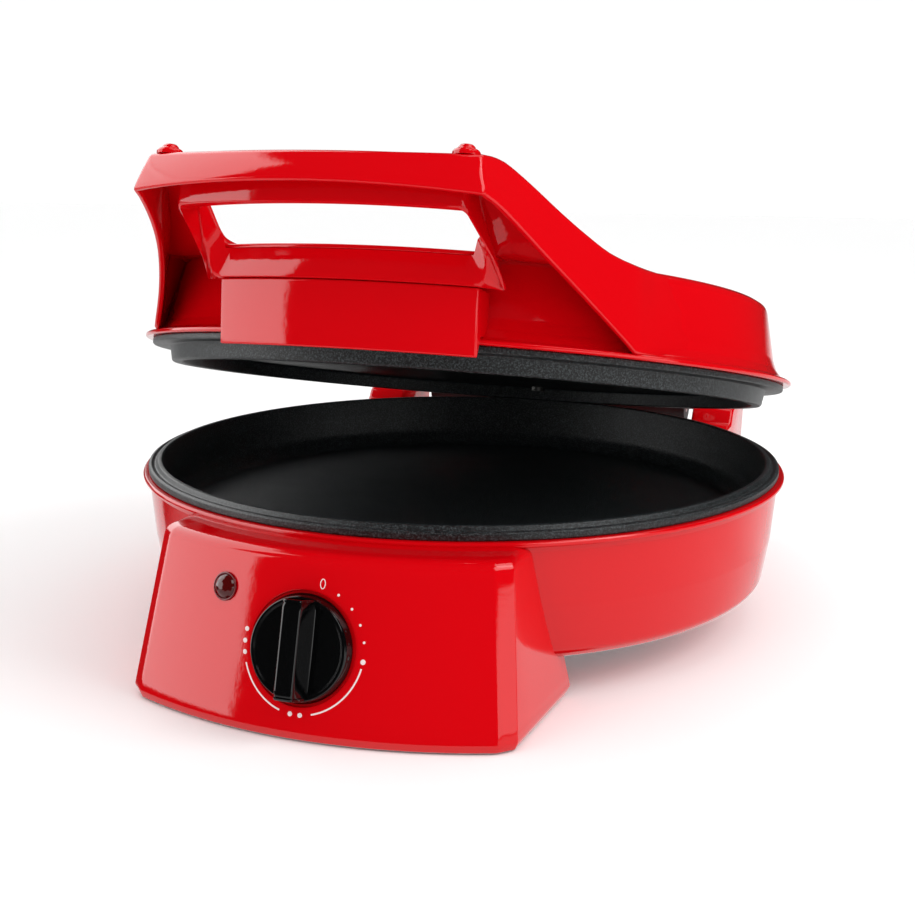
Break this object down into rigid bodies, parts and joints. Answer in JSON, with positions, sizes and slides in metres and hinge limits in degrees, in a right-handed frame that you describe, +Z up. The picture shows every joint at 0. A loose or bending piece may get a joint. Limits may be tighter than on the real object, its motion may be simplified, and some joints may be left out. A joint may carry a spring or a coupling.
{
  "type": "electric pizza maker",
  "caption": "Round red electric pizza maker with a hinged lid, a finger handle, black non-stick plates and a front control dial, stored with its lid a little open.",
  "frame": {"origin": "on the table, under the middle of the footprint's box at rest", "axes": "+Z up, +X to the right seen from the front, +Y to the hinge at the back"},
  "size_m": [0.336, 0.417, 0.2393],
  "materials": {
    "shell_red": "gloss",
    "trim_red": "gloss",
    "knob_black": "gloss",
    "scale_white": "satin",
    "plate_black": "satin",
    "trim_black": "matte",
    "foot_rubber": "matte",
    "sheet_metal": "satin",
    "fixings": "satin",
    "element": "satin",
    "bush_plastic": "satin",
    "end_seal": "satin",
    "fuse_metal": "gloss",
    "wire_cover": "satin",
    "lens_red": "gloss"
  },
  "bodies": {
    "base": {"base_shell": "shell_red", "housing_cover": "trim_black", "bottom_cover": "sheet_metal", "cover_screws": "fixings", "front_feet": "foot_rubber", "rear_feet": "foot_rubber", "lower_pan": "plate_black", "pan_spacers": "fixings", "pan_tie_screws": "fixings", "lower_reflector": "sheet_metal", "lower_heater": "element", "lower_heater_ends": "end_seal", "lower_heater_clips": "sheet_metal", "thermostat_body": "sheet_metal", "thermostat_bracket": "sheet_metal", "bracket_screws": "fixings", "lamp_lens": "lens_red", "lamp_body": "trim_black", "terminal_block": "trim_black", "thermal_fuse": "fuse_metal", "base_wiring": "wire_cover", "cord_gland": "trim_black", "hinge_pins": "fixings"},
    "lid": {"lid_shell": "shell_red", "handle_inner": "trim_red", "lid_apron": "trim_red", "handle_screws": "fixings", "lid_feet": "trim_red", "upper_plate": "plate_black", "upper_plate_screws": "fixings", "upper_reflector": "sheet_metal", "reflector_screws": "fixings", "upper_heater": "element", "upper_heater_ends": "end_seal", "upper_heater_clips": "sheet_metal", "upper_thermal_fuse": "fuse_metal", "lid_wiring": "wire_cover", "hinge_knuckle": "trim_black", "hinge_bushes": "bush_plastic", "knuckle_screws": "fixings"},
    "knob": {"knob": "knob_black", "thermostat_shaft": "fixings"}
  },
  "joints": [
    {"name": "lid_hinge", "type": "hinge", "parent": "base", "child": "lid", "pos_m": [0, 0.195, 0.0795], "axis": [-1, 0, 0], "range_deg": [-12.15, 167.7]},
    {"name": "knob_turn", "type": "hinge", "parent": "base", "child": "knob", "pos_m": [0, -0.19048, 0.03717], "axis": [0, -0.9629, 0.2698], "range_deg": [-99.5, 166.6]}
  ]
}
